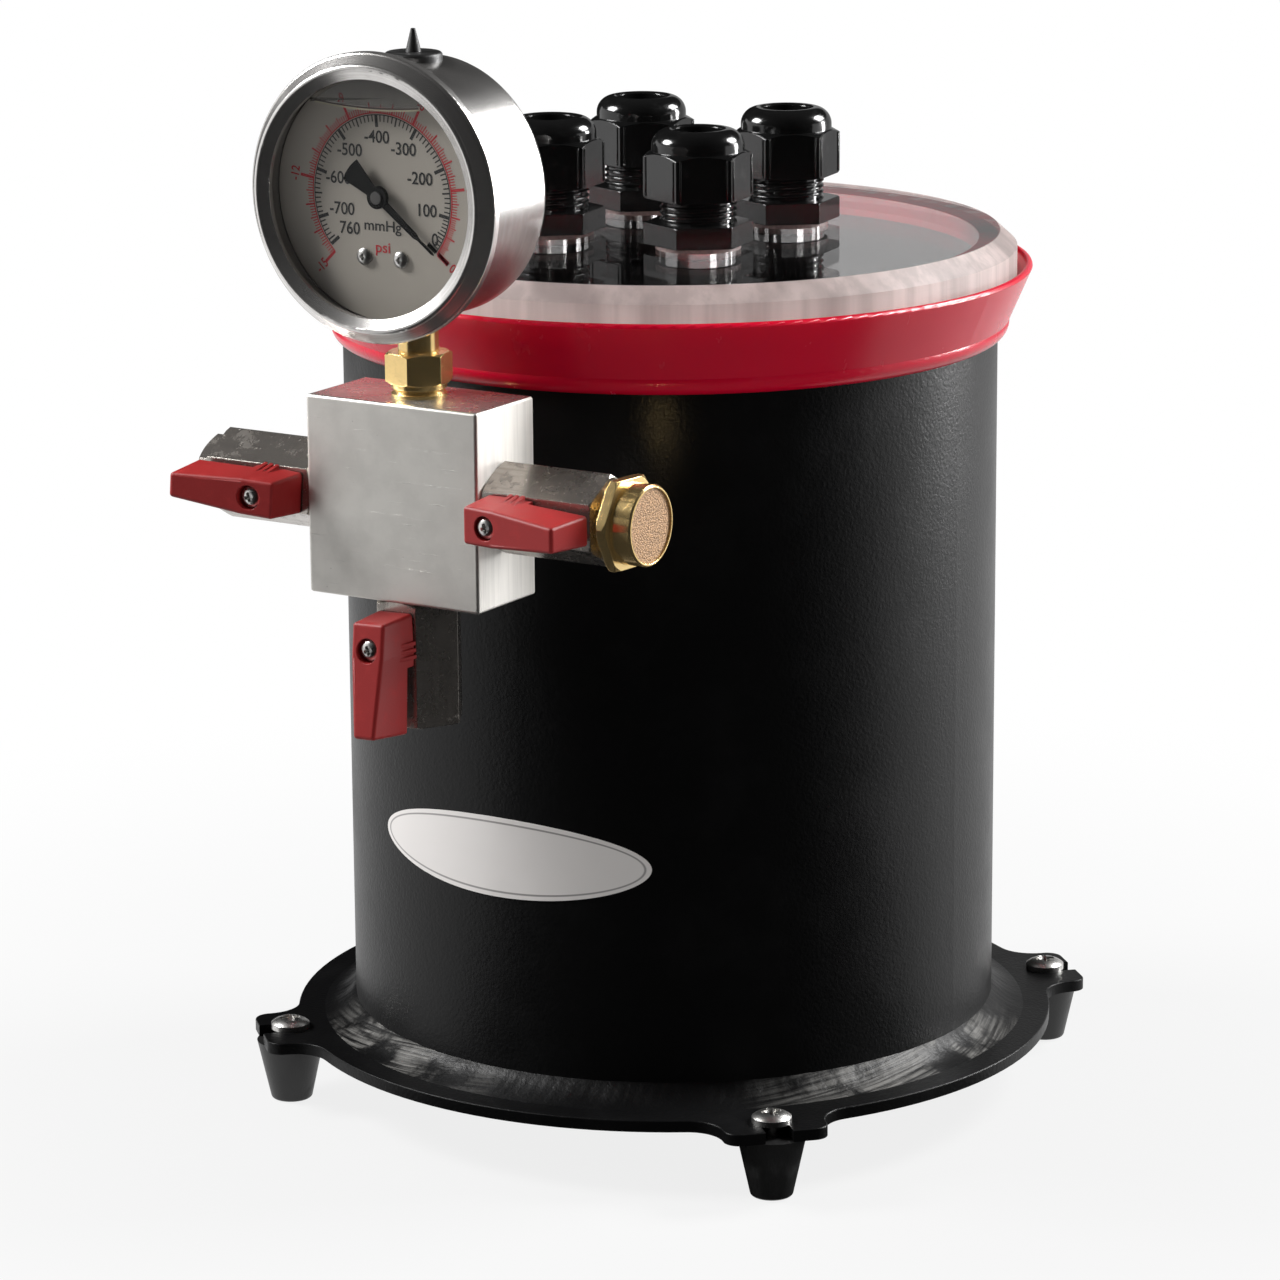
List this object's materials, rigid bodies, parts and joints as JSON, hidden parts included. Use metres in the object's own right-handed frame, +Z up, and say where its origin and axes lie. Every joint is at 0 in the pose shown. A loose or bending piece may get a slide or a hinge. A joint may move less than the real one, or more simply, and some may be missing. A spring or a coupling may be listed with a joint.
{
  "type": "vacuum resin trap",
  "caption": "Black round resin trap vessel on rubber feet, clear gasketed lid with hose glands, front block with lever valves and a vacuum gauge.",
  "frame": {"origin": "centre of the vessel's base on the surface that the feet stand on", "axes": "+Z up along the vessel, -Y to the manifold block and the gauge's face, +X to the valve with the silencer"},
  "size_m": [0.199, 0.2416, 0.2896],
  "materials": {
    "powder_coat": "satin black powder coat with a fine orange-peel texture",
    "foot_rubber": "matt black rubber",
    "bright_zinc": "bright zinc plated steel",
    "label_white": "bare white glossy label stock",
    "silicone_red": "smooth translucent red silicone",
    "acrylic_clear": "clear cast acrylic with sawn, slightly frosted edges",
    "brass": "turned and polished brass",
    "block_aluminium": "smooth extruded faces, sawn side faces",
    "gauge_steel": "polished stainless steel",
    "gauge_glass": "clear window with filling liquid behind it",
    "dial_grey": null,
    "pointer_black": "matt black paint",
    "plug_rubber": "black rubber",
    "gland_nylon": "glossy black moulded nylon",
    "seal_rubber": "black sealing rubber",
    "bronze_sinter": "sintered bronze, fine grained",
    "valve_chrome": "dull nickel and chrome plate",
    "seat_plastic": "white valve seat plastic",
    "handle_plastic": "matt dark red moulded plastic"
  },
  "bodies": {
    "trap": {"vessel_tube": "powder_coat", "base_plate": "powder_coat", "base_weld": "powder_coat", "outlet_weld": "powder_coat", "foot_1": "foot_rubber", "foot_2": "foot_rubber", "foot_3": "foot_rubber", "foot_4": "foot_rubber", "foot_screws": "bright_zinc", "foot_bushes": "bright_zinc", "vessel_label": "label_white", "rim_gasket": "silicone_red", "lid_disc": "acrylic_clear", "gland_washers": "acrylic_clear", "outlet_nipple": "brass", "gauge_stem": "brass", "silencer_body": "brass", "gauge_movement": "brass", "manifold_block": "block_aluminium", "gauge_case": "gauge_steel", "gauge_bezel": "gauge_steel", "gauge_window": "gauge_glass", "gauge_dial": "dial_grey", "gauge_dial_screws": "bright_zinc", "gauge_plug": "plug_rubber", "gland_body_1": "gland_nylon", "gland_body_2": "gland_nylon", "gland_body_3": "gland_nylon", "gland_body_4": "gland_nylon", "gland_seals": "seal_rubber", "silencer_disc": "bronze_sinter", "right_valve_body": "valve_chrome", "right_valve_insert": "valve_chrome", "right_valve_seats": "seat_plastic", "left_valve_body": "valve_chrome", "left_valve_insert": "valve_chrome", "left_valve_seats": "seat_plastic", "bottom_valve_body": "valve_chrome", "bottom_valve_insert": "valve_chrome", "bottom_valve_seats": "seat_plastic"},
    "right_lever": {"right_valve_handle": "handle_plastic", "right_valve_screw": "bright_zinc", "right_valve_stem": "valve_chrome", "right_valve_ball": "valve_chrome"},
    "left_lever": {"left_valve_handle": "handle_plastic", "left_valve_screw": "bright_zinc", "left_valve_stem": "valve_chrome", "left_valve_ball": "valve_chrome"},
    "bottom_lever": {"bottom_valve_handle": "handle_plastic", "bottom_valve_screw": "bright_zinc", "bottom_valve_stem": "valve_chrome", "bottom_valve_ball": "valve_chrome"},
    "pointer": {"gauge_pointer": "pointer_black", "gauge_spindle": "brass"},
    "gland_nut_body_1": {"gland_nut_1": "gland_nylon"},
    "gland_nut_body_2": {"gland_nut_2": "gland_nylon"},
    "gland_nut_body_3": {"gland_nut_3": "gland_nylon"},
    "gland_nut_body_4": {"gland_nut_4": "gland_nylon"}
  },
  "joints": [
    {"name": "right_lever_turn", "type": "hinge", "parent": "trap", "child": "right_lever", "pos_m": [0.0339, -0.1165, 0.1775], "axis": [0, -1, 0], "range_deg": [0, 90]},
    {"name": "left_lever_turn", "type": "hinge", "parent": "trap", "child": "left_lever", "pos_m": [-0.0339, -0.1165, 0.1775], "axis": [0, 1, 0], "range_deg": [-4.4, 85.6]},
    {"name": "bottom_lever_turn", "type": "hinge", "parent": "trap", "child": "bottom_lever", "pos_m": [0, -0.1165, 0.1438], "axis": [0, -1, 0], "range_deg": [-2.2, 87.8]},
    {"name": "pointer_sweep", "type": "hinge", "parent": "trap", "child": "pointer", "pos_m": [0, -0.1312, 0.2516], "axis": [0, -1, 0], "range_deg": [0, 258.5]},
    {"name": "gland_nut_turn_1", "type": "hinge", "parent": "trap", "child": "gland_nut_body_1", "pos_m": [0.02185, -0.02185, 0.2556], "axis": [0, 0, 1], "range_deg": [0, 360]},
    {"name": "gland_nut_turn_2", "type": "hinge", "parent": "trap", "child": "gland_nut_body_2", "pos_m": [0.02185, 0.02185, 0.2556], "axis": [0, 0, 1], "range_deg": [0, 360]},
    {"name": "gland_nut_turn_3", "type": "hinge", "parent": "trap", "child": "gland_nut_body_3", "pos_m": [-0.02185, 0.02185, 0.2556], "axis": [0, 0, 1], "range_deg": [0, 360]},
    {"name": "gland_nut_turn_4", "type": "hinge", "parent": "trap", "child": "gland_nut_body_4", "pos_m": [-0.02185, -0.02185, 0.2556], "axis": [0, 0, 1], "range_deg": [0, 360]}
  ]
}
